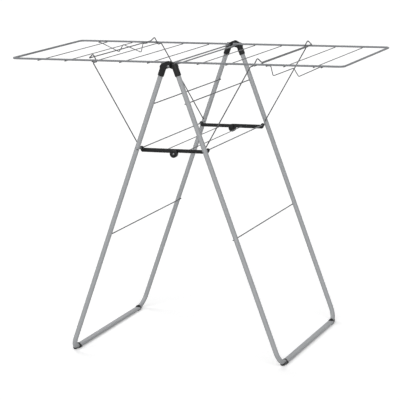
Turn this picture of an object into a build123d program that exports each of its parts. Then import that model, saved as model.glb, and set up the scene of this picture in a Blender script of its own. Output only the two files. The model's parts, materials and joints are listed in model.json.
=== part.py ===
from build123d import *
import os
from math import atan2, cos, degrees, radians, sin, tan

# Winged clothes drying rack. X is the long axis, Y the depth, Z up, the floor at z = 0.
# Two leg frames cross-lean against each other and turn on pins at the top. Each carries
# one wing of drying lines. The right half is modelled here, and the left half is the same
# hardware turned half a turn about the vertical.

os.makedirs("parts", exist_ok=True)

# ---- Driving dimensions, in millimetres and degrees ----
wing_reach = 600.0  # centre plane to the end rail's centreline
rail_level = 1033.0  # height of the wing rails' centrelines
leg_depth = 343.0  # middle of the rack to a leg's centreline
rail_diameter = 7.0
rail_wall = 1.0
rail_corner = 20.0
rail_start = 8.0  # centre plane to the rails' inner ends
rail_inset = 34.0  # leg centreline to a side rail's, across the depth
weld_sink = 0.3  # how far a welded rod sinks into what it is welded to

line_diameter = 3.0
line_count = 5
first_line = 90.0  # centre plane to the innermost drying line
line_overhang = 4.0  # line end past the rail's outer side

axle_diameter = 5.0
axle_offset = 14.0  # centre plane to a wing axle

lean = 19.8  # leg angle from vertical
apex_rise = 46.5  # rail level to where the leg centrelines would cross
leg_diameter = 17.0
leg_wall = 1.2
leg_bend = 45.0
leg_end_level = 10.0  # height of the leg's turned-in end

foot_socket = 8.0
foot_collar_wall = 1.2
foot_end_wall = 2.0  # disc that closes the leg's end
foot_flange = 2.0  # rest of the flange, from that disc to the floor bar
foot_spigot = 16.0
foot_pad_width = 18.0
foot_pad_length = 26.0
foot_pad_height = 2.7
bar_width = 24.0  # flattened floor bar
bar_height = 10.0
bar_level = 8.0
bar_wall = 1.2

cross_diameter = 4.0
upper_cross_drop = 137.0  # rail level to the upper cross rod
lower_cross_drop = 598.0
cross_overhang = 2.0  # leg centreline to a cross rod's end
shelf_axle_overhang = 1.5  # leg's outer side to a shelf axle's end

pin_drop = 9.0  # rail level to the frame hinge's pin
pin_diameter = 5.0
pin_head_diameter = 9.0
pin_head_height = 1.5
sleeve_diameter = 22.0
sleeve_top = 50.0  # apex to the sleeve's top, along the leg
sleeve_length = 44.0
sleeve_rounding = 3.0
leg_seat = 22.0  # sleeve top to the leg tube's end
eye_radius = 6.0
shoulder_radius = 10.5
outer_crown = (2.0, 9.0, 9.5)  # centre plane to crown circle, its rise over the pin, its radius
inner_crown = (2.0, 8.0, 9.0)
hinge_outside = 11.5  # leg centreline to the hinge's outer face
hinge_split = 2.4  # leg centreline to the split between the two arms
hinge_inside = 8.0  # leg centreline to the inner arm's inner face
groove_width = 2.6
groove_depth = 1.2
groove_spacing = 6.5
running_fit = 0.05  # radial clearance of a shaft in its hole
split_gap = 0.5  # between two faces that turn past each other

shelf_drop = 298.0  # rail level to the shelf axles
shelf_inset = 4.5  # leg centreline to the shelf axle, inwards
shelf_gap = 32.0  # leg centreline to the outer bars' outer faces, across the depth
shelf_bar_drop = 6.7  # shelf axles to the bars' centrelines
shelf_bar_thickness = 5.5
outer_bar_height = 14.0
inner_bar_height = 12.5
shelf_boss_radius = 6.6  # round the shelf axle
shelf_bar_short = 4.0  # shelf axle back to the bar's end circle
knob_drop = 9.0  # bar centreline to the knuckle
knob_radius = 13.5
knob_proud = 8.0  # outer bar's outer face to the knob's
tongue_drop = 4.0  # bar centreline to the inner bar's lower end circle
rivet_radius = 3.5
rivet_height = 1.2
shelf_wire_diameter = 3.0
shelf_wire_drop = 8.0  # shelf axles to the inner wires
shelf_wire_share = 3  # an inner wire stands at one part in this many of the half shelf

stay_diameter = 4.0
stay_gap = 12.5  # leg centreline to the stay's, across the depth
stay_bend = 4.5
stay_foot_bend = 3.0
stay_peak_bend = 3.5
stay_foot_drop = 285.0
stay_foot_out = 3.0  # leg centreline to the stay's foot, outwards
stay_hook_inset = 13.0  # side rail's centreline to the hook, across the depth
stay_hook_in = 10.0  # middle drying line back to the rod under the rail
stay_peak_rise = 20.0
stay_peak_out = 4.0  # middle drying line to the hook's peak
stay_bar_rise = 6.0
stay_bar_out = 19.0
bearing_gap = 0.3

hanger_diameter = 3.0
hanger_inset = 12.0  # side rail to the hanger wire
hanger_bend = 4.0
hanger_start = 41.0  # middle drying line to the hanger wire's first end
hanger_end = 28.0  # outermost drying line to the hanger wire's other end
hanger_flat = 10.0  # level stretch at each end
hanger_first_notch = 18.0  # wire's first end to the bottom of the first notch
hanger_crest = 90.0  # wire's first end to the crest between the notches
hanger_pitch = 89.0  # between the bottoms of the two notches
hanger_low = 38.0  # rail level to the notches
hanger_high = 10.0  # rail level to the crest between the notches

# ---- Sizes that follow ----
lean_sin = sin(radians(lean))
lean_cos = cos(radians(lean))
rail_radius = rail_diameter / 2
rail_depth = leg_depth - rail_inset
line_radius = line_diameter / 2
line_pitch = (wing_reach - first_line) / line_count
line_level = rail_level - rail_radius - line_radius + weld_sink
middle_line = first_line + (line_count // 2) * line_pitch
last_line = first_line + (line_count - 1) * line_pitch
hanger_length = last_line + hanger_end - (middle_line + hanger_start)
axle_radius = axle_diameter / 2
axle_level = rail_level - rail_radius - axle_radius + weld_sink
apex_level = rail_level + apex_rise
pin_level = rail_level - pin_drop
leg_radius = leg_diameter / 2
leg_end = leg_depth - leg_bend - foot_socket  # middle of the rack to the leg tube's turned-in end
bar_reach = leg_end - foot_end_wall - foot_flange
shelf_level = rail_level - shelf_drop
shelf_bar_level = shelf_level - shelf_bar_drop
shelf_outside = leg_depth - shelf_gap
outer_bar_inside = shelf_outside - shelf_bar_thickness
inner_bar_outside = outer_bar_inside - bearing_gap


def leg_x(level):
    """Distance of a leg's centreline from the centre plane at a height."""
    return (apex_level - level) * tan(radians(lean))


floor_x = leg_x(leg_end_level)
shelf_axle_x = leg_x(shelf_level) - shelf_inset


def along_leg(depth, down):
    """Plane square to the right leg's centreline, a distance down from the apex."""
    direction = Vector(lean_sin, 0, -lean_cos)
    return Plane(Vector(0, depth, apex_level) + direction * down, x_dir=(0, 1, 0), z_dir=direction)


def upright(depth):
    """Vertical plane facing -Y at a depth, with X to the right and Z up."""
    return Plane.XZ.offset(-depth)


def save(name, part):
    part.label = name
    export_step(part, f"parts/{name}.step")


def save_pair(right_name, left_name, part):
    """Write a right-hand piece and its twin, turned half a turn about the vertical."""
    save(right_name, part)
    with BuildPart() as twin:
        add(part, rotation=(0, 0, 180))
    save(left_name, twin.part)


def rod(path, radius, wall=0.0):
    """Round bar or tube swept along a path."""
    with BuildPart() as bar:
        with BuildSketch(Plane(path @ 0, z_dir=path % 0)):
            Circle(radius)
            if wall:
                Circle(radius - wall, mode=Mode.SUBTRACT)
        sweep(path=path)
    return bar.part


def cross_rod(x, level, radius, reach):
    """Straight rod along Y, centred on the middle of the rack."""
    with BuildPart() as bar:
        with BuildSketch(upright(reach)):
            with Locations((x, level)):
                Circle(radius)
        extrude(amount=2 * reach)
    return bar.part


# ---- Leg frames ----
cross_radius = cross_diameter / 2
shelf_axle_reach = leg_depth + leg_radius + shelf_axle_overhang
shelf_axle = cross_rod(shelf_axle_x, shelf_level, cross_radius, shelf_axle_reach)
save_pair("right_shelf_axle", "left_shelf_axle", shelf_axle)

for rod_name, rod_drop in (("upper_cross_rod", upper_cross_drop), ("lower_cross_rod", lower_cross_drop)):
    # Welded on the inward-facing side of the two legs
    rod_level = rail_level - rod_drop
    rod_x = leg_x(rod_level) - (leg_radius + cross_radius - weld_sink) / lean_cos
    welded_rod = cross_rod(rod_x, rod_level, cross_radius, leg_depth + cross_overhang)
    save_pair(f"right_{rod_name}", f"left_{rod_name}", welded_rod)


def leg(inward):
    """Bent leg tube: inward is 1 for the near leg, which turns in towards +Y, or -1."""
    depth = -inward * leg_depth
    top = sleeve_top + leg_seat
    down = (apex_level - leg_end_level) / lean_cos
    frame = Plane((0, depth, apex_level), x_dir=(lean_sin, 0, -lean_cos), z_dir=(lean_cos, 0, lean_sin))
    with BuildPart() as tube:
        with BuildLine(frame) as route:
            FilletPolyline((top, 0), (down, 0), (down, inward * (leg_depth - leg_end)), radius=leg_bend)
        with BuildSketch(along_leg(depth, top)):
            Circle(leg_radius)
            Circle(leg_radius - leg_wall, mode=Mode.SUBTRACT)
        sweep(path=route.line)
        with BuildSketch(upright(shelf_axle_reach)):
            with Locations((shelf_axle_x, shelf_level)):
                Circle(cross_radius)
        extrude(amount=2 * shelf_axle_reach, mode=Mode.SUBTRACT)
    return tube.part


save_pair("right_leg_near", "left_leg_far", leg(1))
save_pair("right_leg_far", "left_leg_near", leg(-1))


def floor_bar():
    """Flattened tube along the floor between the two foot caps."""
    with BuildPart() as bar:
        with BuildSketch(upright(bar_reach)):
            with Locations((floor_x, bar_level)):
                SlotOverall(bar_width, bar_height)
                SlotOverall(bar_width - 2 * bar_wall, bar_height - 2 * bar_wall, mode=Mode.SUBTRACT)
        extrude(amount=2 * bar_reach)
    return bar.part


def foot_cap():
    """Near foot: takes the leg's turned-in end, plugs the floor bar, and stands on a flat pad."""
    collar_face = -(leg_end + foot_socket)
    bore_fit = bar_wall + running_fit
    with BuildPart() as cap:
        with BuildSketch(upright(-(leg_end - foot_end_wall))):
            with Locations((floor_x, leg_end_level)):
                Circle(leg_radius + foot_collar_wall)
        extrude(amount=foot_end_wall + foot_socket)
        with BuildSketch(upright(-bar_reach)):
            with Locations((floor_x, bar_level)):
                SlotOverall(bar_width, bar_height)
        extrude(amount=foot_flange + foot_end_wall)
        with BuildSketch(upright(-bar_reach)):
            with Locations((floor_x, bar_level)):
                SlotOverall(bar_width - 2 * bore_fit, bar_height - 2 * bore_fit)
        extrude(amount=-foot_spigot)
        with BuildSketch():
            with Locations((floor_x, collar_face)):
                Rectangle(foot_pad_width, foot_pad_length, align=(Align.CENTER, Align.MIN))
        extrude(amount=foot_pad_height)
        with BuildSketch(upright(-leg_end)):
            with Locations((floor_x, leg_end_level)):
                Circle(leg_radius)
        extrude(amount=foot_socket, mode=Mode.SUBTRACT)
    return cap.part


def mirrored(part):
    """The same piece on the other side of the rack's long middle plane."""
    with BuildPart() as other:
        add(part)
        mirror(about=Plane.XZ, mode=Mode.REPLACE)
    return other.part


save_pair("right_floor_bar", "left_floor_bar", floor_bar())
near_foot = foot_cap()
save_pair("right_foot_near", "left_foot_far", near_foot)
save_pair("right_foot_far", "left_foot_near", mirrored(near_foot))

# ---- Frame hinge: two sleeves with lapped arms on one pin, near and far ----
pin_radius = pin_diameter / 2
outer_lane = (leg_depth + hinge_split + split_gap / 2, leg_depth + hinge_outside)
inner_lane = (leg_depth - hinge_inside, leg_depth + hinge_split - split_gap / 2)
sleeve_radius = sleeve_diameter / 2
axle_reach = inner_lane[1] - 2 * split_gap
shoulder_level = apex_level - (sleeve_top + sleeve_radius) * lean_cos
shoulder_x = leg_x(shoulder_level)


def arm_outline(side, crown, clearance):
    """Arched arm from the pin to a sleeve, on side 1 for the right and -1 for the left."""
    crown_x, crown_rise, crown_radius = crown
    with Locations((0, pin_level)):
        Circle(eye_radius + clearance)
    with Locations((side * shoulder_x, shoulder_level)):
        Circle(shoulder_radius + clearance)
    with Locations((side * crown_x, pin_level + crown_rise)):
        Circle(crown_radius + clearance)
    make_hull()


def hinge_half(outer):
    """Right half of a hinge as it stands near the viewer: its arm is the outer or inner one."""
    own, other = (outer_crown, outer_lane), (inner_crown, inner_lane)
    if not outer:
        own, other = other, own
    with BuildPart() as half:
        with BuildSketch(along_leg(-leg_depth, sleeve_top)):
            Circle(sleeve_radius)
        extrude(amount=sleeve_length)
        fillet(half.faces().sort_by(Axis.Z)[-1].edges(), radius=sleeve_rounding)
        # Room for the other half's arm, then this half's own
        for side, (crown, (inside, outside)), clearance, mode in (
            (-1, other, split_gap, Mode.SUBTRACT),
            (1, own, 0, Mode.ADD),
        ):
            with BuildSketch(upright(clearance - inside)):
                arm_outline(side, crown, clearance)
            extrude(amount=outside - inside + 2 * clearance, mode=mode)
        # Socket for the leg, hole for the pin, blind hole for the wing's axle
        with BuildSketch(along_leg(-leg_depth, sleeve_top + leg_seat)):
            Circle(leg_radius)
        extrude(amount=sleeve_length, mode=Mode.SUBTRACT)
        with BuildSketch(upright(0)):
            with Locations((0, pin_level)):
                Circle(pin_radius + running_fit)
        extrude(amount=2 * leg_depth, mode=Mode.SUBTRACT)
        with BuildSketch(upright(0)):
            with Locations((axle_offset, axle_level)):
                Circle(axle_radius + running_fit)
        extrude(amount=axle_reach + split_gap, mode=Mode.SUBTRACT)
        if not outer:
            with BuildSketch(along_leg(-leg_depth - sleeve_radius, sleeve_top + sleeve_length)):
                with Locations((0, groove_spacing / 2), (0, -groove_spacing / 2)):
                    Rectangle(2 * groove_depth, groove_width)
            extrude(amount=-(sleeve_length - leg_seat), mode=Mode.SUBTRACT)
    return half.part


def hinge_pin():
    """Rivet through both arms of the near hinge."""
    shank_face = -(leg_depth - hinge_inside - bearing_gap)
    shank = hinge_outside + hinge_inside + 2 * bearing_gap
    with BuildPart() as pin:
        with BuildSketch(upright(shank_face)):
            with Locations((0, pin_level)):
                Circle(pin_radius)
        extrude(amount=shank)
        for face, out in ((shank_face, -1), (shank_face - shank, 1)):
            with BuildSketch(upright(face)):
                with Locations((0, pin_level)):
                    Circle(pin_head_diameter / 2)
            extrude(amount=out * pin_head_height)
    return pin.part


save_pair("right_hinge_near", "left_hinge_far", hinge_half(outer=False))
save_pair("right_hinge_far", "left_hinge_near", mirrored(hinge_half(outer=True)))
near_pin = hinge_pin()
save("hinge_pin_near", near_pin)
save("hinge_pin_far", mirrored(near_pin))

# ---- Wings ----
with BuildPart() as wing_rail:
    with BuildLine(Plane.XY.offset(rail_level)) as rail_route:
        FilletPolyline(
            (rail_start, -rail_depth),
            (wing_reach, -rail_depth),
            (wing_reach, rail_depth),
            (rail_start, rail_depth),
            radius=rail_corner,
        )
    with BuildSketch(Plane(rail_route.line @ 0, z_dir=rail_route.line % 0)):
        Circle(rail_radius)
        Circle(rail_radius - rail_wall, mode=Mode.SUBTRACT)
    sweep(path=rail_route.line)
save_pair("right_wing_rail", "left_wing_rail", wing_rail.part)

line_reach = rail_depth + rail_radius + line_overhang
with BuildPart() as drying_lines:
    with BuildSketch(upright(line_reach)):
        with Locations(*[(first_line + n * line_pitch, line_level) for n in range(line_count)]):
            Circle(line_radius)
    extrude(amount=2 * line_reach)
save_pair("right_drying_lines", "left_drying_lines", drying_lines.part)

wing_axle = cross_rod(axle_offset, axle_level, axle_radius, axle_reach)
save_pair("right_wing_axle", "left_wing_axle", wing_axle)


def hanger_rail():
    """Zigzag wire inside the right wing's near rail, with notches that hold clothes hangers."""
    level = rail_level - rail_radius - hanger_diameter / 2 + weld_sink
    start = middle_line + hanger_start
    inside = -(rail_depth - hanger_inset)
    bottom = rail_level - hanger_low
    points = [(start, -line_reach, level)]
    for along, height in (
        (0, level),
        (hanger_flat, level),
        (hanger_first_notch, bottom),
        (hanger_crest, rail_level - hanger_high),
        (hanger_first_notch + hanger_pitch, bottom),
        (hanger_length - hanger_flat, level),
        (hanger_length, level),
    ):
        points.append((start + along, inside, height))
    points.append((start + hanger_length, -line_reach, level))
    with BuildLine() as route:
        FilletPolyline(*points, radius=hanger_bend)
    return rod(route.line, hanger_diameter / 2)


save_pair("right_hanger_rail", "left_hanger_rail", hanger_rail())


def stay():
    """Right stay: one bent rod that props the wing's two side rails from the two legs."""
    radius = stay_diameter / 2
    foot_level = rail_level - stay_foot_drop
    foot_x = leg_x(foot_level) + stay_foot_out
    under_rail = rail_level - rail_radius - radius - bearing_gap
    hook_x = middle_line - stay_hook_in
    outside = leg_depth - stay_gap
    inside = rail_depth - stay_hook_inset
    near_half = [
        (foot_x, -(leg_depth - leg_radius - bearing_gap), foot_level),
        (foot_x, -outside, foot_level),
        (hook_x, -outside, under_rail),
        (hook_x, -inside, under_rail),
        (middle_line + stay_peak_out, -inside, rail_level + stay_peak_rise),
        (middle_line + stay_bar_out, -inside, rail_level + stay_bar_rise),
    ]
    far_half = [(x, -y, z) for x, y, z in reversed(near_half)]
    bends = [stay_foot_bend, stay_bend, stay_bend, stay_peak_bend, stay_bend]
    with BuildLine() as route:
        FilletPolyline(*near_half, *far_half, radius=bends + bends[::-1])
    return rod(route.line, radius)


save_pair("right_stay", "left_stay", stay())

# ---- Folding shelf ----
knob_level = shelf_bar_level - knob_drop
knob_outside = shelf_outside + knob_proud


def shelf_bar(outer):
    """Right shelf bar as it stands near the viewer, in the outer or the inner lane."""
    outside = shelf_outside if outer else inner_bar_outside
    bar_radius = (outer_bar_height if outer else inner_bar_height) / 2
    bar_end = Vector(shelf_axle_x - shelf_bar_short, shelf_bar_level)
    axle = Vector(shelf_axle_x, shelf_level)
    with BuildPart() as bar:
        with BuildSketch(upright(-outside + shelf_bar_thickness)):
            with Locations(bar_end, (0, shelf_bar_level)):
                Circle(bar_radius)
            make_hull()
            with Locations((bar_end + axle) / 2):
                boss_turn = degrees(atan2(shelf_bar_drop, shelf_bar_short))
                boss_length = (axle - bar_end).length
                SlotCenterToCenter(boss_length, 2 * shelf_boss_radius, rotation=boss_turn)
            if not outer:
                with Locations((0, shelf_bar_level - tongue_drop / 2)):
                    SlotCenterToCenter(tongue_drop, inner_bar_height, rotation=90)
            with Locations(axle):
                Circle(cross_radius + running_fit, mode=Mode.SUBTRACT)
        extrude(amount=shelf_bar_thickness)
        if outer:
            with BuildSketch(upright(-outside + shelf_bar_thickness)):
                with Locations((0, knob_level)):
                    Circle(knob_radius)
            extrude(amount=knob_proud + shelf_bar_thickness)
    return bar.part


def shelf_wire():
    """The inner wire of the half shelf, held by both bars."""
    near_end = inner_bar_outside - bearing_gap
    far_end = shelf_outside - bearing_gap
    with BuildPart() as wire:
        with BuildSketch(upright(far_end)):
            with Locations((shelf_axle_x / shelf_wire_share, shelf_level - shelf_wire_drop)):
                Circle(shelf_wire_diameter / 2)
        extrude(amount=near_end + far_end)
    return wire.part


def knuckle_rivet():
    """Rivet in the knob of the far outer bar."""
    with BuildPart() as rivet:
        with BuildSketch(upright(knob_outside)):
            with Locations((0, knob_level)):
                Circle(rivet_radius)
        extrude(amount=-rivet_height)
    return rivet.part


save_pair("right_shelf_bar_near", "left_shelf_bar_far", shelf_bar(outer=False))
save_pair("right_shelf_bar_far", "left_shelf_bar_near", mirrored(shelf_bar(outer=True)))
save_pair("right_shelf_wire", "left_shelf_wire", shelf_wire())
save_pair("right_shelf_rivet", "left_shelf_rivet", knuckle_rivet())
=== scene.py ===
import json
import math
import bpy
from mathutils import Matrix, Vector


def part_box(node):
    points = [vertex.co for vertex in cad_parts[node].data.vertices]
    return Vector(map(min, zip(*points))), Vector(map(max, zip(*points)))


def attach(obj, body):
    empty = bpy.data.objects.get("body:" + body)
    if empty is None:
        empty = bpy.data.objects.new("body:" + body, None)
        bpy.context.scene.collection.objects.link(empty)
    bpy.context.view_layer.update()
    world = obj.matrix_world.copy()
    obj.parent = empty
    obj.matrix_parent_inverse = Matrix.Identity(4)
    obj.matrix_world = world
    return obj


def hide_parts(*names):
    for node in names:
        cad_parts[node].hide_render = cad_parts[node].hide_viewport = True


bl_info = {
    "name": "Winged Drying Rack",
    "version": (1, 0, 0),
    "blender": (4, 5, 0),
    "location": "View3D > Sidebar > Drying Rack",
    "description": "Finishes a folding winged drying rack around its packed frame",
    "category": "Object",
}

import bmesh
import bpy
from mathutils import Matrix, Vector

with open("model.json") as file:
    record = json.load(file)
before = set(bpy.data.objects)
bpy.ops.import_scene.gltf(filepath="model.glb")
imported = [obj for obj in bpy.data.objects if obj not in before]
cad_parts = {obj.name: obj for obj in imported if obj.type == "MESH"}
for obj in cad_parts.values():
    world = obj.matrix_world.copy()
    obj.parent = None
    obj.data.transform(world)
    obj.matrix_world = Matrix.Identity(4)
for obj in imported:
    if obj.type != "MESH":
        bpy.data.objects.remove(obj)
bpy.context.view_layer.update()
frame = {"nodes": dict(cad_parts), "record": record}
MM = 0.001
SIDES = {"left": -1, "right": 1}
ENDS = {"near": -1, "far": 1}
UP = (0, 0, 1)
LEAN = math.radians(19.8)  # a leg from the vertical


# ---- Measures read from the frame ----


def middle(node):
    """Centre of a node's box."""
    low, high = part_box(node)
    return (low + high) / 2


def size(node):
    """Length of a node's box along each axis."""
    low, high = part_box(node)
    return high - low


RAIL_RADIUS = size("right_wing_rail").z / 2
RAIL_LEVEL = middle("right_wing_rail").z
RAIL_DEPTH = size("right_wing_rail").y / 2 - RAIL_RADIUS


# ---- Measures that the scene goes by ----

LINE_COUNT = 5  # drying lines on a wing
LINE_RADIUS = 1.5 * MM  # drying lines and hanger wires
AXLE_RADIUS = 2.5 * MM  # wing axles
CROSS_ROD_RADIUS = 2 * MM  # cross rods and shelf axles
WELD_INSET = 2 * MM  # from a cross rod's end to its weld

PAD_LENGTH = 26 * MM  # a foot's flat pad, along the floor bar
PAD_LIFT = 1.0 * MM  # how far the pad clears the floor on its tread
TREAD_WIDTH = 16 * MM
TREAD_MARGIN = 2 * MM  # from the pad's ends to the first and last rib
COLLAR_WALL = 1.2 * MM  # a foot's wall round the leg
SOLE_LIFT = 0.4 * MM  # how far the heel clears the floor
HEEL_LINING = 0.05 * MM  # how far the heel stays off the leg
HEEL_WRAP = math.radians(92)  # how far the heel reaches round the leg each way, at the collar
HEEL_TAPER = 0.4  # share of that reach lost at the heel's tip
KEEL_NARROWNESS = 1.4  # the higher, the narrower the heel's fill down to the floor
KEEL_TAPER = 0.3  # share of the fill lost at the heel's tip
HEEL_STEPS = 10  # along the leg's bend
HEEL_SIDES = 24  # and round the leg

HINGE_PASSES = 5  # smoothing passes of a moulding
FOOT_PASSES = 4
SHARP_ANGLE = math.radians(38)  # shading stays sharp over edges that bend more
FLAT_ANGLE = math.radians(1)  # faces that bend less are one face
ROUNDED_ANGLE = 0.7  # edges of the shelf bars that bend more are rounded, in radians
BORE_REACH = 3 * MM  # edges this near to the shelf's axle stay as they are
ROUNDING_STEPS = 3  # across a rounded edge

BEAD_SIDES = 20  # of a weld bead, round its rod
SECTION_SIDES = 8  # and across its own section
RIPPLES = 900.0  # along a metre of weld
DOME_FIT = 0.985  # radius of a rod's domed end, as a share of the rod's
RIB_SIDES = 12  # of a tread rib's section

PIN_RADIUS = 2.5 * MM  # of a hinge pin's shank
PIN_HEAD = (  # radius as a share of the head's, and depth in millimetres
    (0, 0),
    (0.35, 0.1),
    (0.75, 0.45),
    (0.95, 0.9),
    (1.0, 1.3),
    (0.97, 1.5),
)
KNOB_RINGS = (  # radius and height in millimetres
    (0, 0.2),
    (4.4, 0.2),
    (4.9, 0.8),
    (7.4, 0.8),
    (7.9, 0.15),
    (9.1, 0.15),
    (9.6, 0.7),
    (11.2, 0.6),
    (12.0, 0.1),
    (11.6, -0.6),
    (0, -0.6),
)
RIVET_HEAD = ((0, 1.3), (1.9, 1.2), (3.0, 0.85), (3.5, 0.3), (3.4, -0.2), (0, -0.2))

PAINT_WHITE = 0.85  # how much light the studio's floor sends back
FLOOR_LIFT = 0.32  # and its glow, where it is seen
SENSOR = 36.0  # width in millimetres
FOCAL_LENGTH = 4.794875  # in widths of the picture, as are the camera's shifts
CAMERA_SHIFT = (-0.01314, -0.0030725)
CAMERA_PLACE = (2.27797, -6.38333, 1.76507)
CAMERA_AIM = (0.3428, 0.1836)  # azimuth and elevation that it looks from, in radians
CAMERA_ROLL = -0.0143
CAMERA_FAR_END = 100.0
LAMP_DISTANCE = 5.0
LAMPS = (  # name, then azimuth, elevation and spread in degrees
    ("key", 12, 34, 60),
    ("back", 235, 52, 36),
)


# ---- What a user would change ----


def srgb(text):
    """Linear colour of an sRGB hex value."""
    parts = [int(text[n : n + 2], 16) / 255 for n in (0, 2, 4)]
    return tuple(c / 12.92 if c <= 0.04045 else ((c + 0.055) / 1.055) ** 2.4 for c in parts)


def colour_property(name, text, hex_value):
    return bpy.props.FloatVectorProperty(
        name=name,
        description=text,
        subtype="COLOR",
        size=3,
        min=0,
        max=1,
        default=srgb(hex_value),
    )


def length_property(name, text, millimetres):
    return bpy.props.FloatProperty(
        name=name,
        description=text,
        default=millimetres * MM,
        min=0.01 * MM,
        unit="LENGTH",
        subtype="DISTANCE",
        precision=5,
    )


def light_property(name, text, strength):
    return bpy.props.FloatProperty(name=name, description=text, default=strength, min=0)


class RACK_PG_finish(bpy.types.PropertyGroup):
    tube_colour: colour_property("Tube", "Powder coat on the legs and floor bars", "9d9fa1")
    rail_colour: colour_property("Rail", "Powder coat on the wing rails and axles", "7c7e81")
    wire_colour: colour_property("Wire", "Powder coat on the lines, rods and stays", "505153")
    black_colour: colour_property("Black plastic", "Hinges, feet and shelf bars", "121314")
    steel_colour: colour_property("Rivets", "Zinc plating on the pins and rivets", "747576")
    tread_colour: colour_property("Tread", "Soft ribs under the feet", "26272a")
    flake: length_property("Flake", "Width of a cluster of metal flake in the coats", 0.8)
    grain: length_property("Grain", "Width of a pit in the moulded plastic's surface", 0.5)


class RACK_PG_hardware(bpy.types.PropertyGroup):
    edge: length_property("Shelf bar edge", "Rounding along the edges of the shelf bars", 1.3)
    voxel: length_property("Moulding detail", "Smallest detail kept on the hinges and feet", 0.5)
    bead: length_property("Weld bead", "Thickness of the ring of weld round a joint", 1.1)
    spread: length_property("Weld spread", "Gap from a rod's side to the middle of its bead", 0.3)
    dome: bpy.props.FloatProperty(
        name="Rod end dome",
        description="Height of a rod's domed end, as a share of its radius",
        default=0.5,
        min=0.1,
        max=1.0,
        subtype="FACTOR",
    )
    heel: bpy.props.FloatProperty(
        name="Heel",
        description="How far round the leg's bend the foot's lip reaches",
        default=math.radians(26),
        min=0.1,
        max=1.2,
        subtype="ANGLE",
    )
    rib: length_property("Tread rib", "Thickness of a rib under the feet", 2.0)
    rib_count: bpy.props.IntProperty(
        name="Tread ribs", description="Number of ribs under each foot", default=6, min=2, max=12
    )
    seed: bpy.props.IntProperty(
        name="Weld seed", description="Pattern of the weld's ripples", default=4
    )


class RACK_PG_stage(bpy.types.PropertyGroup):
    key: light_property("Key light", "Strength of the main light", 2.3)
    back: light_property("Back light", "Strength of the light from behind", 1.0)
    sky: light_property("Room light", "Light from all around", 0.2)
    floor: length_property("Floor", "Width of the studio floor", 60000)


# ---- Meshes ----


def add_piece(name, mesh, body, material=None):
    """Show a mesh as a piece that rides on a body, shaded smooth between sharp edges."""
    if material:
        mesh.materials.clear()
        mesh.materials.append(material)
    mesh.polygons.foreach_set("use_smooth", [True] * len(mesh.polygons))
    mesh.set_sharp_from_angle(angle=SHARP_ANGLE)
    piece = bpy.data.objects.new(name, mesh)
    bpy.context.scene.collection.objects.link(piece)
    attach(piece, body)
    return piece


def merged_copy(node):
    """A CAD node's shape with its loose triangles joined."""
    shape = bmesh.new()
    shape.from_mesh(frame["nodes"][node].data)
    bmesh.ops.remove_doubles(shape, verts=shape.verts, dist=1e-6)
    return shape


def to_mesh(shape, name):
    mesh = bpy.data.meshes.new(name)
    shape.to_mesh(mesh)
    shape.free()
    return mesh


def plain_mesh(worker, name):
    """The evaluated mesh of an object with live modifiers, which is then deleted."""
    bpy.context.view_layer.update()
    graph = bpy.context.evaluated_depsgraph_get()
    mesh = bpy.data.meshes.new_from_object(worker.evaluated_get(graph))
    mesh.name = name
    bpy.data.objects.remove(worker)
    return mesh


def softened(shape, name, voxel, passes):
    """Round every edge of a solid as a mould does: remesh it finely, then smooth it."""
    worker = bpy.data.objects.new(name, to_mesh(shape, name + "_blank"))
    bpy.context.scene.collection.objects.link(worker)
    remesh = worker.modifiers.new("remesh", "REMESH")
    remesh.mode = "VOXEL"
    remesh.voxel_size = voxel
    smooth = worker.modifiers.new("smooth", "SMOOTH")
    smooth.factor = 0.5
    smooth.iterations = passes
    return plain_mesh(worker, name)


def turned(name, profile, centre, axis, segments=48):
    """Solid of revolution: profile is (radius, height) pairs, from one pole to the other."""
    turn = axis.to_track_quat("Z", "Y").to_matrix()
    shape = bmesh.new()
    rings = []
    for radius, height in profile:
        if radius == 0:
            rings.append([shape.verts.new(centre + turn @ Vector((0, 0, height)))])
            continue
        ring = []
        for n in range(segments):
            angle = 2 * math.pi * n / segments
            point = Vector((radius * math.cos(angle), radius * math.sin(angle), height))
            ring.append(shape.verts.new(centre + turn @ point))
        rings.append(ring)
    for lower, upper in zip(rings, rings[1:]):
        for n in range(segments):
            corners = [lower[n % len(lower)], lower[(n + 1) % len(lower)]]
            corners += [upper[(n + 1) % len(upper)], upper[n % len(upper)]]
            shape.faces.new(dict.fromkeys(corners))
    bmesh.ops.recalc_face_normals(shape, faces=shape.faces)
    return to_mesh(shape, name)


# ---- Geometry Nodes ----


def add_node(tree, kind, links=(), **settings):
    """Add a node with its attributes, socket values by name or number, and incoming links."""
    node = tree.nodes.new(kind)
    sockets = settings.pop("sockets", {})
    for name, value in settings.items():
        setattr(node, name, value)
    for name, value in sockets.items():
        node.inputs[name].default_value = value
    for name, source in links:
        tree.links.new(source, node.inputs[name])
    return node


def maths(tree, operation, *values):
    """Output of a maths node on numbers or sockets, in their order."""
    node = add_node(tree, "ShaderNodeMath", operation=operation)
    for socket, value in zip(node.inputs, values):
        if isinstance(value, bpy.types.NodeSocket):
            tree.links.new(value, socket)
        else:
            socket.default_value = value
    return node.outputs[0]


def new_geometry_tree(name, inputs):
    """A geometry tree with named inputs: returns it, its input node and its sockets by name."""
    tree = bpy.data.node_groups.new(name, "GeometryNodeTree")
    sockets = {}
    for label, kind in (("Geometry", "NodeSocketGeometry"), *inputs):
        sockets[label] = tree.interface.new_socket(label, in_out="INPUT", socket_type=kind)
    tree.interface.new_socket("Geometry", in_out="OUTPUT", socket_type="NodeSocketGeometry")
    return tree, add_node(tree, "NodeGroupInput"), sockets


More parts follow.
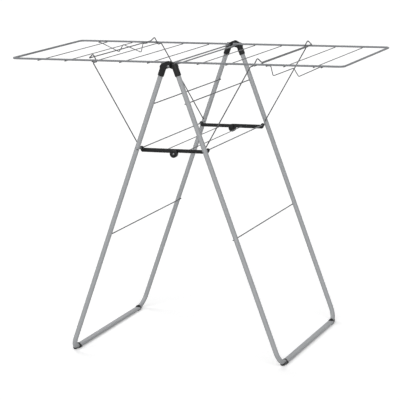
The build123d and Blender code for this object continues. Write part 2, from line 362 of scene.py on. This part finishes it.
def close_geometry_tree(tree, geometry, material):
    """Realize the instances, give them their material and send them out."""
    real = add_node(tree, "GeometryNodeRealizeInstances", [("Geometry", geometry)])
    coated = add_node(
        tree, "GeometryNodeSetMaterial", [("Geometry", real.outputs[0]), ("Material", material)]
    )
    add_node(tree, "NodeGroupOutput", [(0, coated.outputs[0])])


def point_value(tree, name, data_type):
    """What each point carries under a name."""
    named = add_node(
        tree, "GeometryNodeInputNamedAttribute", data_type=data_type, sockets={"Name": name}
    )
    return named.outputs["Attribute"]


def facing_instances(tree, points, instance, scale):
    """Stand an instance on every point, its Z along the point's facing."""
    facing = point_value(tree, "facing", "FLOAT_VECTOR")
    turn = add_node(tree, "FunctionNodeAlignRotationToVector", [("Vector", facing)], axis="Z")
    placed = add_node(
        tree,
        "GeometryNodeInstanceOnPoints",
        [
            ("Points", points),
            ("Instance", instance),
            ("Rotation", turn.outputs[0]),
            ("Scale", scale),
        ],
    )
    return placed.outputs[0]


def swept(tree, curve, radius, sides, **sockets):
    """Sweep a round section along a curve."""
    section = add_node(
        tree,
        "GeometryNodeCurvePrimitiveCircle",
        [("Radius", radius)],
        sockets={"Resolution": sides},
    )
    tube = add_node(
        tree,
        "GeometryNodeCurveToMesh",
        [("Curve", curve), ("Profile Curve", section.outputs["Curve"])],
        **sockets,
    )
    return tube.outputs[0]


def weld_bead_tree():
    """A rippled ring of weld round each joint between two rods."""
    inputs = (
        ("Bead Thickness", "NodeSocketFloat"),
        ("Spread", "NodeSocketFloat"),
        ("Seed", "NodeSocketFloat"),
        ("Material", "NodeSocketMaterial"),
    )
    tree, given, sockets = new_geometry_tree("weld_beads", inputs)
    ring = add_node(
        tree,
        "GeometryNodeCurvePrimitiveCircle",
        sockets={"Resolution": BEAD_SIDES, "Radius": 1.0},
    )
    reach = maths(tree, "ADD", point_value(tree, "radius", "FLOAT"), given.outputs["Spread"])
    loops = facing_instances(tree, given.outputs["Geometry"], ring.outputs["Curve"], reach)
    loops = add_node(tree, "GeometryNodeRealizeInstances", [("Geometry", loops)])
    half = maths(tree, "MULTIPLY", given.outputs["Bead Thickness"], 0.5)
    bead = swept(tree, loops.outputs[0], half, SECTION_SIDES)
    ripple = add_node(
        tree,
        "ShaderNodeTexNoise",
        [("W", given.outputs["Seed"])],
        noise_dimensions="4D",
        sockets={"Scale": RIPPLES, "Detail": 1.0},
    )
    centred = add_node(
        tree,
        "ShaderNodeVectorMath",
        [(0, ripple.outputs["Color"])],
        operation="SUBTRACT",
        sockets={1: (0.5, 0.5, 0.5)},
    )
    shift = add_node(
        tree,
        "ShaderNodeVectorMath",
        [(0, centred.outputs[0]), ("Scale", half)],
        operation="SCALE",
    )
    rippled = add_node(
        tree, "GeometryNodeSetPosition", [("Geometry", bead), ("Offset", shift.outputs[0])]
    )
    close_geometry_tree(tree, rippled.outputs[0], given.outputs["Material"])
    return tree, sockets


def rod_end_tree():
    """A flattened dome over each cut end of a rod."""
    inputs = (("Dome", "NodeSocketFloat"), ("Material", "NodeSocketMaterial"))
    tree, given, sockets = new_geometry_tree("rod_ends", inputs)
    ball = add_node(
        tree,
        "GeometryNodeMeshUVSphere",
        sockets={"Segments": 20, "Rings": 10, "Radius": DOME_FIT},
    )
    flat = add_node(
        tree, "ShaderNodeCombineXYZ", [("Z", given.outputs["Dome"])], sockets={"X": 1.0, "Y": 1.0}
    )
    dome = add_node(
        tree,
        "GeometryNodeTransform",
        [("Geometry", ball.outputs["Mesh"]), ("Scale", flat.outputs[0])],
    )
    radius = point_value(tree, "radius", "FLOAT")
    ends = facing_instances(tree, given.outputs["Geometry"], dome.outputs[0], radius)
    close_geometry_tree(tree, ends, given.outputs["Material"])
    return tree, sockets


def tread_tree():
    """A row of round ribs across each point, one behind another along Y."""
    inputs = (
        ("Rib", "NodeSocketFloat"),
        ("Ribs", "NodeSocketInt"),
        ("Width", "NodeSocketFloat"),
        ("Length", "NodeSocketFloat"),
        ("Material", "NodeSocketMaterial"),
    )
    tree, given, sockets = new_geometry_tree("foot_tread", inputs)
    half = maths(tree, "MULTIPLY", given.outputs["Width"], 0.5)
    right = add_node(tree, "ShaderNodeCombineXYZ", [("X", half)])
    left = add_node(
        tree,
        "ShaderNodeVectorMath",
        [(0, right.outputs[0])],
        operation="SCALE",
        sockets={"Scale": -1.0},
    )
    line = add_node(
        tree,
        "GeometryNodeCurvePrimitiveLine",
        [("Start", left.outputs[0]), ("End", right.outputs[0])],
    )
    radius = maths(tree, "MULTIPLY", given.outputs["Rib"], 0.5)
    rib = swept(tree, line.outputs[0], radius, RIB_SIDES, sockets={"Fill Caps": True})
    gaps = maths(tree, "SUBTRACT", given.outputs["Ribs"], 1.0)
    pitch = maths(tree, "DIVIDE", given.outputs["Length"], gaps)
    step = add_node(tree, "ShaderNodeCombineXYZ", [("Y", pitch)])
    row = add_node(
        tree,
        "GeometryNodeMeshLine",
        [("Count", given.outputs["Ribs"]), ("Offset", step.outputs[0])],
    )
    ribs = add_node(
        tree, "GeometryNodeInstanceOnPoints", [("Points", row.outputs[0]), ("Instance", rib)]
    )
    pads = add_node(
        tree,
        "GeometryNodeInstanceOnPoints",
        [("Points", given.outputs["Geometry"]), ("Instance", ribs.outputs[0])],
    )
    close_geometry_tree(tree, pads.outputs[0], given.outputs["Material"])
    return tree, sockets


def grown(name, made, marks, **values):
    """Run a geometry tree on marks, each a (place, facing, radius), into a plain mesh."""
    tree, sockets = made
    mesh = bpy.data.meshes.new(name + "_marks")
    mesh.from_pydata([mark[0] for mark in marks], [], [])
    facing = mesh.attributes.new("facing", "FLOAT_VECTOR", "POINT")
    facing.data.foreach_set("vector", [value for mark in marks for value in mark[1]])
    radius = mesh.attributes.new("radius", "FLOAT", "POINT")
    radius.data.foreach_set("value", [mark[2] for mark in marks])
    worker = bpy.data.objects.new(name, mesh)
    bpy.context.scene.collection.objects.link(worker)
    modifier = worker.modifiers.new(name, "NODES")
    modifier.node_group = tree
    for label, value in values.items():
        modifier[sockets[label.replace("_", " ")].identifier] = value
    return plain_mesh(worker, name)


# ---- Materials ----


def new_material(name):
    """An empty node material and its tree."""
    material = bpy.data.materials.new(name)
    material.use_nodes = True
    material.node_tree.nodes.clear()
    return material, material.node_tree


def close_material(tree, shader):
    add_node(tree, "ShaderNodeOutputMaterial", [("Surface", shader.outputs[0])])


def mottle(tree, width, detail=3.0):
    """Soft noise in the piece's own space, with features about this wide."""
    place = add_node(tree, "ShaderNodeTexCoord")
    return add_node(
        tree,
        "ShaderNodeTexNoise",
        [("Vector", place.outputs["Object"])],
        sockets={"Scale": 1 / width, "Detail": detail, "Roughness": 0.55},
    )


def spread_over(tree, source, low, high):
    """Stretch a value between 0 and 1 over a range."""
    stretched = add_node(
        tree, "ShaderNodeMapRange", [("Value", source)], sockets={"To Min": low, "To Max": high}
    )
    return stretched.outputs[0]


def shades(tree, source, colour, change):
    """Colour ramp from a little darker to a little lighter than a colour."""
    ramp = add_node(tree, "ShaderNodeValToRGB", [("Fac", source)])
    ends = ((0.3, 1 - change), (0.7, 1 + change))
    for element, (place, factor) in zip(ramp.color_ramp.elements, ends):
        element.position = place
        element.color = (*(min(1.0, part * factor) for part in colour), 1.0)
    return ramp.outputs["Color"]


def relief(tree, height, strength, depth):
    """Bump from a height, with a depth in metres."""
    bump = add_node(
        tree,
        "ShaderNodeBump",
        [("Height", height)],
        sockets={"Strength": strength, "Distance": depth},
    )
    return bump.outputs["Normal"]


def powder_coat(name, colour, flake, metallic=0.0, roughness=0.5, change=0.04):
    """Silver-grey polyester powder coat baked on steel: metal flake mottles its colour a little,
    and its orange peel, a few flakes wide, breaks up its satin sheen."""
    material, tree = new_material(name)
    flakes = mottle(tree, flake)
    peel = mottle(tree, flake * 3, detail=1.0)
    sheen = spread_over(tree, peel.outputs["Fac"], roughness - change, roughness + change)
    shader = add_node(
        tree,
        "ShaderNodeBsdfPrincipled",
        [
            ("Base Color", shades(tree, flakes.outputs["Fac"], colour, change=0.05)),
            ("Roughness", sheen),
            ("Normal", relief(tree, peel.outputs["Fac"], strength=0.15, depth=0.2 * MM)),
        ],
        sockets={"Metallic": metallic, "Specular IOR Level": 0.3},
    )
    close_material(tree, shader)
    return material


def moulded_polypropylene(name, colour, grain):
    """Charcoal polypropylene from a spark-eroded mould: dark, with a fine even grain that spreads
    its highlights, and faint clouds of flow in the colour."""
    material, tree = new_material(name)
    flow = mottle(tree, grain * 16)
    pits = mottle(tree, grain, detail=2.0)
    sheen = spread_over(tree, pits.outputs["Fac"], 0.36, 0.5)
    shader = add_node(
        tree,
        "ShaderNodeBsdfPrincipled",
        [
            ("Base Color", shades(tree, flow.outputs["Fac"], colour, change=0.15)),
            ("Roughness", sheen),
            ("Normal", relief(tree, pits.outputs["Fac"], strength=0.25, depth=0.1 * MM)),
        ],
        sockets={"IOR": 1.49, "Specular IOR Level": 0.25},
    )
    close_material(tree, shader)
    return material


def zinc_plate(name, colour):
    """Bright zinc on cold-headed steel: a cloudy grey metal with fine tool marks."""
    material, tree = new_material(name)
    cloud = mottle(tree, 1.5 * MM)
    marks = mottle(tree, 0.3 * MM, detail=2.0)
    shader = add_node(
        tree,
        "ShaderNodeBsdfPrincipled",
        [
            ("Base Color", shades(tree, cloud.outputs["Fac"], colour, change=0.12)),
            ("Normal", relief(tree, marks.outputs["Fac"], strength=0.2, depth=0.05 * MM)),
        ],
        sockets={"Metallic": 1.0, "Roughness": 0.34},
    )
    close_material(tree, shader)
    return material


def soft_tread(name, colour):
    """Moulded thermoplastic rubber: matt and dark, and a little dusty from the floor."""
    material, tree = new_material(name)
    dust = mottle(tree, 2 * MM)
    shader = add_node(
        tree,
        "ShaderNodeBsdfPrincipled",
        [
            ("Base Color", shades(tree, dust.outputs["Fac"], colour, change=0.3)),
            ("Normal", relief(tree, dust.outputs["Fac"], strength=0.2, depth=0.1 * MM)),
        ],
        sockets={"Roughness": 0.75, "IOR": 1.5},
    )
    close_material(tree, shader)
    return material


def finishes(scene):
    """The rack's materials by the record's slot, made once."""
    made = {material.name: material for material in bpy.data.materials}
    if "silver_powder_coat_tube" not in made:
        look = scene.rack_finish
        for material in (
            powder_coat("silver_powder_coat_tube", look.tube_colour, look.flake),
            powder_coat("grey_powder_coat_rail", look.rail_colour, look.flake),
            powder_coat(
                "grey_powder_coat_wire",
                look.wire_colour,
                look.flake,
                metallic=0.15,
                roughness=0.45,
            ),
            moulded_polypropylene("charcoal_polypropylene", look.black_colour, look.grain),
            zinc_plate("zinc_plated_rivet", look.steel_colour),
            soft_tread("thermoplastic_rubber_tread", look.tread_colour),
        ):
            made[material.name] = material
    return {
        "leg_finish": made["silver_powder_coat_tube"],
        "wire_finish": made["grey_powder_coat_wire"],
        "rail": made["grey_powder_coat_rail"],
        "black_plastic": made["charcoal_polypropylene"],
        "rivet_steel": made["zinc_plated_rivet"],
        "tread": made["thermoplastic_rubber_tread"],
    }


# ---- Pieces ----


class RACK_OT_coats(bpy.types.Operator):
    """Coat the legs, floor bars, rails, lines, rods and stays"""

    bl_idname = "rack.coats"
    bl_label = "Coat the tubes and wires"

    def execute(self, context):
        coat = finishes(context.scene)
        for entry in frame["record"]["subparts"]:
            rail = entry["node"].endswith(("wing_rail", "wing_axle", "shelf_axle"))
            mesh = frame["nodes"][entry["node"]].data
            mesh.materials.clear()
            mesh.materials.append(coat["rail" if rail else entry["material_slot"]])
        return {"FINISHED"}


def add_moulding(mesh, body, node, coat):
    """Show a black plastic mesh in place of a CAD node."""
    piece = add_piece(mesh.name, mesh, body, coat["black_plastic"])
    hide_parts(node)


class RACK_OT_hinges(bpy.types.Operator):
    """Mould the four hinge halves and head the two pins"""

    bl_idname = "rack.hinges"
    bl_label = "Mould the hinges"

    def execute(self, context):
        coat = finishes(context.scene)
        voxel = context.scene.rack_hardware.voxel
        for side in SIDES:
            for end in ENDS:
                node = f"{side}_hinge_{end}"
                mesh = softened(merged_copy(node), node + "_moulding", voxel, HINGE_PASSES)
                add_moulding(mesh, f"{side}_frame", node, coat)
        for end in ENDS:
            node = f"hinge_pin_{end}"
            length, head = size(node).y, size(node).x / 2
            half = [(share * head, depth * MM) for share, depth in PIN_HEAD]
            half.append((PIN_RADIUS, half[-1][1]))
            profile = half + [(radius, length - depth) for radius, depth in reversed(half)]
            start = Vector((middle(node).x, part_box(node)[0].y, middle(node).z))
            mesh = turned(node + "_headed", profile, start, Vector((0, 1, 0)))
            piece = add_piece(mesh.name, mesh, "left_frame", coat["rivet_steel"])
            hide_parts(node)
        return {"FINISHED"}


def add_heel(shape, node, leg, out, sign, turn):
    """Add the lip that runs out of a foot's collar and cups the underside of the leg's bend."""
    low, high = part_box(node)
    leg_low, leg_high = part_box(leg)
    face = high.y if sign > 0 else low.y
    radius = (high.z - COLLAR_WALL - leg_low.z) / 2
    bend = max(abs(leg_low.y), abs(leg_high.y)) - radius - abs(face)
    start = Vector((middle(node).x, face, leg_low.z + radius))
    along = Vector((0, sign, 0))
    up = Vector((-out * math.sin(LEAN), 0, math.cos(LEAN)))
    across = along.cross(up)
    rings = []
    for step in range(-1, HEEL_STEPS + 1):
        reach = max(step, 0) / HEEL_STEPS
        angle = turn * reach
        centre = start + bend * (math.sin(angle) * along + (1 - math.cos(angle)) * up)
        if step < 0:
            centre -= COLLAR_WALL * along  # into the collar
        outwards = math.sin(angle) * along - math.cos(angle) * up
        half_wrap = HEEL_WRAP * (1 - HEEL_TAPER * reach**2)
        wraps = [half_wrap * (2 * n / HEEL_SIDES - 1) for n in range(HEEL_SIDES + 1)]
        ring = []
        for wrap in wraps:
            ray = math.cos(wrap) * outwards + math.sin(wrap) * across
            place = centre + (radius + COLLAR_WALL) * ray
            # The sole fills the wedge between the bend and the floor
            keel = max(0, math.cos(KEEL_NARROWNESS * wrap)) * (1 - KEEL_TAPER * reach**3)
            place.z -= keel * (place.z - SOLE_LIFT)
            ring.append(shape.verts.new(place))
        for wrap in reversed(wraps):
            ray = math.cos(wrap) * outwards + math.sin(wrap) * across
            ring.append(shape.verts.new(centre + (radius + HEEL_LINING) * ray))
        rings.append(ring)
    around = len(rings[0])
    faces = [shape.faces.new(rings[0]), shape.faces.new(rings[-1])]
    for inner, outer in zip(rings, rings[1:]):
        for n in range(around):
            m = (n + 1) % around
            faces.append(shape.faces.new((inner[n], inner[m], outer[m], outer[n])))
    bmesh.ops.recalc_face_normals(shape, faces=faces)


class RACK_OT_feet(bpy.types.Operator):
    """Mould the four feet and rib their undersides"""

    bl_idname = "rack.feet"
    bl_label = "Mould the feet"

    def execute(self, context):
        coat = finishes(context.scene)
        hardware = context.scene.rack_hardware
        tree = tread_tree()
        for side, out in SIDES.items():
            marks = []
            for end, sign in ENDS.items():
                node = f"{side}_foot_{end}"
                shape = merged_copy(node)
                for vert in shape.verts:
                    vert.co.z = max(vert.co.z, PAD_LIFT)
                add_heel(shape, node, f"{side}_leg_{end}", out, sign, hardware.heel)
                mesh = softened(shape, node + "_moulding", hardware.voxel, FOOT_PASSES)
                add_moulding(mesh, f"{side}_frame", node, coat)
                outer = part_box(node)[0 if sign < 0 else 1].y
                first = min(outer, outer - sign * PAD_LENGTH) + TREAD_MARGIN
                marks.append(((middle(node).x, first, hardware.rib / 2), UP, 1.0))
            mesh = grown(
                f"{side}_foot_tread",
                tree,
                marks,
                Rib=hardware.rib,
                Ribs=hardware.rib_count,
                Width=TREAD_WIDTH,
                Length=PAD_LENGTH - 2 * TREAD_MARGIN,
                Material=coat["tread"],
            )
            add_piece(mesh.name, mesh, f"{side}_frame")
        return {"FINISHED"}


class RACK_OT_shelf_bars(bpy.types.Operator):
    """Mould the four shelf bars with rounded edges"""

    bl_idname = "rack.shelf_bars"
    bl_label = "Mould the shelf bars"

    def execute(self, context):
        coat = finishes(context.scene)
        edge = context.scene.rack_hardware.edge
        for side in SIDES:
            axle = middle(f"{side}_shelf_axle")
            for end in ENDS:
                node = f"{side}_shelf_bar_{end}"
                shape = merged_copy(node)
                bmesh.ops.dissolve_limit(
                    shape, angle_limit=FLAT_ANGLE, verts=shape.verts, edges=shape.edges
                )
                rounded = []
                for ridge in shape.edges:
                    if not ridge.is_manifold or ridge.calc_face_angle() <= ROUNDED_ANGLE:
                        continue
                    centre = (ridge.verts[0].co + ridge.verts[1].co) / 2
                    if math.hypot(centre.x - axle.x, centre.z - axle.z) > BORE_REACH:
                        rounded.append(ridge)
                bmesh.ops.bevel(
                    shape,
                    geom=rounded,
                    offset=edge,
                    segments=ROUNDING_STEPS,
                    profile=0.5,
                    affect="EDGES",
                    clamp_overlap=True,
                )
                add_moulding(to_mesh(shape, node + "_moulding"), f"{side}_shelf", node, coat)
        return {"FINISHED"}


class RACK_OT_knobs(bpy.types.Operator):
    """Ring and rivet the knobs of the two outer shelf bars"""

    bl_idname = "rack.knobs"
    bl_label = "Ring the knobs"

    def execute(self, context):
        coat = finishes(context.scene)
        for side, sign in SIDES.items():
            node = f"{side}_shelf_rivet"
            low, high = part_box(node)
            centre = middle(node)
            centre.y = low.y if sign > 0 else high.y
            outwards = Vector((0, sign, 0))
            for name, profile, slot in (
                (f"{side}_knob_rings", KNOB_RINGS, "black_plastic"),
                (f"{side}_rivet_head", RIVET_HEAD, "rivet_steel"),
            ):
                metres = [(radius * MM, height * MM) for radius, height in profile]
                mesh = turned(name, metres, centre, outwards)
                piece = add_piece(name, mesh, f"{side}_shelf", coat[slot])
                if slot == "rivet_steel":
                    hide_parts(node)
        return {"FINISHED"}


def line_places(side):
    """X of each drying line."""
    low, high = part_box(f"{side}_drying_lines")
    radius = (high.z - low.z) / 2
    first, last = low.x + radius, high.x - radius
    return [first + (last - first) * n / (LINE_COUNT - 1) for n in range(LINE_COUNT)]


def hanger_ends(side):
    """X of the hanger wire's two ends, and the sign of the rack's end that it hangs at."""
    low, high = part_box(f"{side}_hanger_rail")
    return [low.x + LINE_RADIUS, high.x - LINE_RADIUS], -SIDES[side]


class RACK_OT_welds(bpy.types.Operator):
    """Weld the lines, hanger wires, axles and cross rods to what carries them"""

    bl_idname = "rack.welds"
    bl_label = "Add the welds"

    def execute(self, context):
        coat = finishes(context.scene)
        hardware = context.scene.rack_hardware
        tree = weld_bead_tree()
        under_rail = RAIL_LEVEL - RAIL_RADIUS
        for side, out in SIDES.items():
            wing, legs = [], []
            ends, hanger_sign = hanger_ends(side)
            towards_leg = Vector((out * math.cos(LEAN), 0, math.sin(LEAN)))
            for sign in ENDS.values():
                rods = [(x, LINE_RADIUS) for x in line_places(side)]
                rods.append((middle(f"{side}_wing_axle").x, AXLE_RADIUS))
                if sign == hanger_sign:
                    rods += [(x, LINE_RADIUS) for x in ends]
                for x, radius in rods:
                    wing.append(((x, sign * RAIL_DEPTH, under_rail), UP, radius))
                for rod in (f"{side}_upper_cross_rod", f"{side}_lower_cross_rod"):
                    place = middle(rod) + towards_leg * CROSS_ROD_RADIUS
                    place.y = sign * (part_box(rod)[1].y - WELD_INSET)
                    legs.append((place, towards_leg, CROSS_ROD_RADIUS))
            for body, marks in ((f"{side}_wing", wing), (f"{side}_frame", legs)):
                mesh = grown(
                    body + "_weld_beads",
                    tree,
                    marks,
                    Bead_Thickness=hardware.bead,
                    Spread=hardware.spread,
                    Seed=float(hardware.seed),
                    Material=coat["wire_finish"],
                )
                add_piece(mesh.name, mesh, body)
        return {"FINISHED"}


class RACK_OT_rod_ends(bpy.types.Operator):
    """Dome the cut ends of the rods and plug the open ends of the rails"""

    bl_idname = "rack.rod_ends"
    bl_label = "Finish the rod ends"

    def execute(self, context):
        coat = finishes(context.scene)
        hardware = context.scene.rack_hardware
        tree = rod_end_tree()
        for side, out in SIDES.items():
            wing, legs, plugs = [], [], []
            ends, hanger_sign = hanger_ends(side)
            line_end = size(f"{side}_drying_lines").y / 2
            line_level = middle(f"{side}_drying_lines").z
            rail_end = min(abs(corner.x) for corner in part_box(f"{side}_wing_rail"))
            for sign in ENDS.values():
                outwards = (0, sign, 0)
                places = line_places(side) + (ends if sign == hanger_sign else [])
                wing += [((x, sign * line_end, line_level), outwards, LINE_RADIUS) for x in places]
                mouth = (out * rail_end, sign * RAIL_DEPTH, RAIL_LEVEL)
                plugs.append((mouth, (-out, 0, 0), RAIL_RADIUS))
                for rod in ("upper_cross_rod", "lower_cross_rod", "shelf_axle"):
                    place = middle(f"{side}_{rod}")
                    place.y = sign * size(f"{side}_{rod}").y / 2
                    legs.append((place, outwards, CROSS_ROD_RADIUS))
            for name, body, marks, slot in (
                (f"{side}_line_ends", f"{side}_wing", wing, "wire_finish"),
                (f"{side}_cross_rod_ends", f"{side}_frame", legs, "wire_finish"),
                (f"{side}_rail_plugs", f"{side}_wing", plugs, "black_plastic"),
            ):
                mesh = grown(name, tree, marks, Dome=hardware.dome, Material=coat[slot])
                add_piece(name, mesh, body)
        return {"FINISHED"}


# ---- Stage ----


def seen_directly(tree):
    """1 for camera, glossy and transmission rays, and 0 for the rest."""
    path = add_node(tree, "ShaderNodeLightPath").outputs
    seen = maths(tree, "MAXIMUM", path["Is Camera Ray"], path["Is Glossy Ray"])
    return maths(tree, "MAXIMUM", seen, path["Is Transmission Ray"])


def unit_towards(azimuth, elevation):
    """Direction from the rack's middle; azimuth 0 is the near end, and grows to the right."""
    level = math.cos(elevation)
    return Vector((math.sin(azimuth) * level, -math.cos(azimuth) * level, math.sin(elevation)))


def aim(source):
    """Turn of a lamp or camera that looks back along a direction."""
    return (-source).to_track_quat("-Z", "Y")


class RACK_OT_stage(bpy.types.Operator):
    """Set up the floor, the light and the camera"""

    bl_idname = "rack.stage"
    bl_label = "Set the stage"

    def execute(self, context):
        scene = context.scene
        stage = scene.rack_stage
        scene.view_settings.view_transform = "Standard"

        # Matt white studio paint, lifted to white where it is seen, so that only shadows show on it
        bpy.ops.mesh.primitive_plane_add(size=stage.floor, location=(0, 0, 0))
        floor = context.object
        floor.name = "studio_floor"
        material, tree = new_material("white_studio_paint")
        paint = (PAINT_WHITE, PAINT_WHITE, PAINT_WHITE, 1)
        matt = add_node(tree, "ShaderNodeBsdfDiffuse", sockets={"Color": paint})
        lift = maths(tree, "MULTIPLY", seen_directly(tree), FLOOR_LIFT)
        glow = add_node(tree, "ShaderNodeEmission", [("Strength", lift)])
        both = add_node(tree, "ShaderNodeAddShader", [(0, matt.outputs[0]), (1, glow.outputs[0])])
        close_material(tree, both)
        floor.data.materials.append(material)

        world = bpy.data.worlds.new("white_studio")
        scene.world = world
        world.use_nodes = True
        tree = world.node_tree
        tree.nodes.clear()
        strength = spread_over(tree, seen_directly(tree), stage.sky, 1.0)
        background = add_node(
            tree,
            "ShaderNodeBackground",
            [("Strength", strength)],
            sockets={"Color": (1, 1, 1, 1)},
        )
        add_node(tree, "ShaderNodeOutputWorld", [("Surface", background.outputs[0])])

        camera_data = bpy.data.cameras.new("camera")
        camera = bpy.data.objects.new("camera", camera_data)
        scene.collection.objects.link(camera)
        camera.location = CAMERA_PLACE
        roll = Matrix.Rotation(CAMERA_ROLL, 3, "Z")
        camera.rotation_euler = (aim(unit_towards(*CAMERA_AIM)).to_matrix() @ roll).to_euler()
        camera_data.sensor_width = SENSOR
        camera_data.lens = SENSOR * FOCAL_LENGTH
        camera_data.shift_x, camera_data.shift_y = CAMERA_SHIFT
        camera_data.clip_end = CAMERA_FAR_END
        scene.camera = camera

        for name, azimuth, elevation, spread in LAMPS:
            light = bpy.data.lights.new(name, "SUN")
            light.energy = getattr(stage, name)
            light.angle = math.radians(spread)
            lamp = bpy.data.objects.new(name, light)
            source = unit_towards(math.radians(azimuth), math.radians(elevation))
            lamp.rotation_euler = aim(source).to_euler()
            lamp.location = source * LAMP_DISTANCE
            scene.collection.objects.link(lamp)
        return {"FINISHED"}


OPERATORS = (
    RACK_OT_coats,
    RACK_OT_hinges,
    RACK_OT_feet,
    RACK_OT_shelf_bars,
    RACK_OT_knobs,
    RACK_OT_welds,
    RACK_OT_rod_ends,
    RACK_OT_stage,
)
GROUPS = {
    "rack_finish": RACK_PG_finish,
    "rack_hardware": RACK_PG_hardware,
    "rack_stage": RACK_PG_stage,
}


class RACK_PT_panel(bpy.types.Panel):
    """Sizes, colours and steps of the drying rack"""

    bl_idname = "RACK_PT_panel"
    bl_label = "Drying Rack"
    bl_space_type = "VIEW_3D"
    bl_region_type = "UI"
    bl_category = "Drying Rack"

    def draw(self, context):
        for group_name, group in GROUPS.items():
            column = self.layout.column()
            for name in group.__annotations__:
                column.prop(getattr(context.scene, group_name), name)
        for operator in OPERATORS:
            self.layout.operator(operator.bl_idname)


CLASSES = (*GROUPS.values(), *OPERATORS, RACK_PT_panel)


def register():
    for each in CLASSES:
        bpy.utils.register_class(each)
    for name, group in GROUPS.items():
        setattr(bpy.types.Scene, name, bpy.props.PointerProperty(type=group))


def unregister():
    for name in GROUPS:
        delattr(bpy.types.Scene, name)
    for each in reversed(CLASSES):
        bpy.utils.unregister_class(each)


def main():
    register()
    bpy.ops.rack.coats()
    bpy.ops.rack.hinges()
    bpy.ops.rack.feet()
    bpy.ops.rack.shelf_bars()
    bpy.ops.rack.knobs()
    bpy.ops.rack.welds()
    bpy.ops.rack.rod_ends()
    bpy.ops.rack.stage()


if __name__ == "__main__":
    main()
